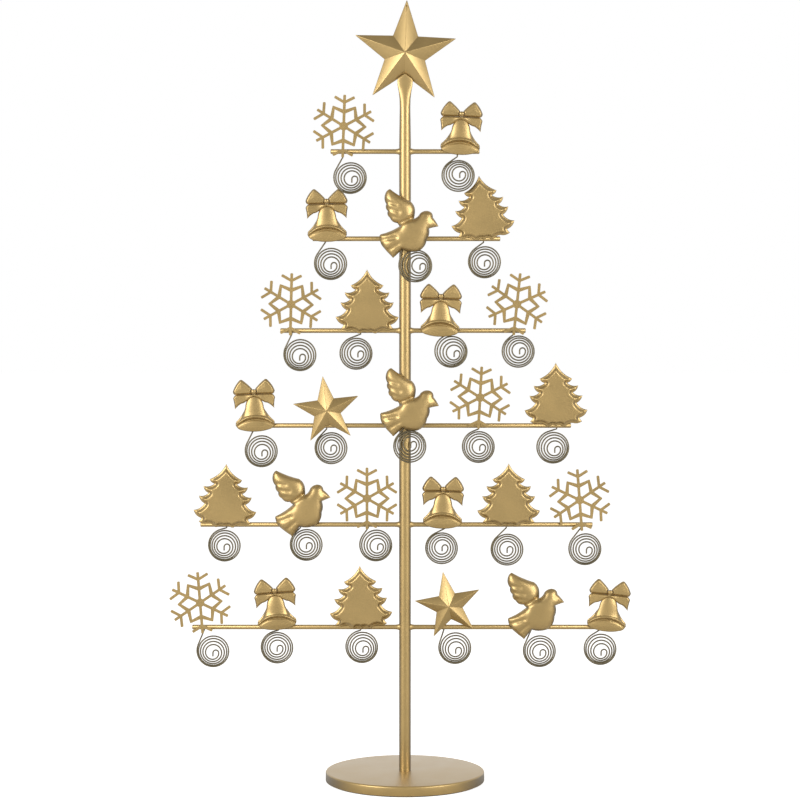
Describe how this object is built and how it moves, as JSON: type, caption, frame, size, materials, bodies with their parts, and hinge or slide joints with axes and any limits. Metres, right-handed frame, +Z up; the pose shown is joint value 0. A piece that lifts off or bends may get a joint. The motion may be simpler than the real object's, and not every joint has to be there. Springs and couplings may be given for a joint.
{
  "type": "photo tree stand",
  "caption": "Free-standing metal photo tree: round foot, tube pole with star topper, cross rods with pressed holiday ornaments and spiral wire clips that grip photos",
  "frame": {"origin": "centre of the underside of the foot, on the surface it stands on", "axes": "+Z up along the pole; +X along the rods to the viewer's right; the ornaments face -Y"},
  "size_m": [0.463, 0.16, 0.7827],
  "materials": {
    "gold_paint": "satin",
    "wire": "satin",
    "zinc": "zinc plated",
    "pad": "felt"
  },
  "bodies": {
    "root": {"base_disc": "gold_paint", "base_pad": "pad", "base_screw": "zinc", "pole_insert": "zinc", "pole": "gold_paint", "topper_star": "gold_paint", "photo_clips": "wire", "branch_rod_1": "gold_paint", "branch_rod_2": "gold_paint", "branch_rod_3": "gold_paint", "branch_rod_4": "gold_paint", "branch_rod_5": "gold_paint", "branch_rod_6": "gold_paint", "snowflake_1": "gold_paint", "snowflake_2": "gold_paint", "snowflake_3": "gold_paint", "snowflake_4": "gold_paint", "snowflake_5": "gold_paint", "snowflake_6": "gold_paint", "snowflake_7": "gold_paint", "tree_1": "gold_paint", "tree_2": "gold_paint", "tree_3": "gold_paint", "tree_4": "gold_paint", "tree_5": "gold_paint", "tree_6": "gold_paint", "bell_1": "gold_paint", "bell_2": "gold_paint", "bell_3": "gold_paint", "bell_4": "gold_paint", "bell_5": "gold_paint", "bell_6": "gold_paint", "bell_7": "gold_paint", "star_1": "gold_paint", "star_2": "gold_paint", "dove_1": "gold_paint", "dove_2": "gold_paint", "dove_3": "gold_paint", "dove_4": "gold_paint"}
  },
  "joints": []
}
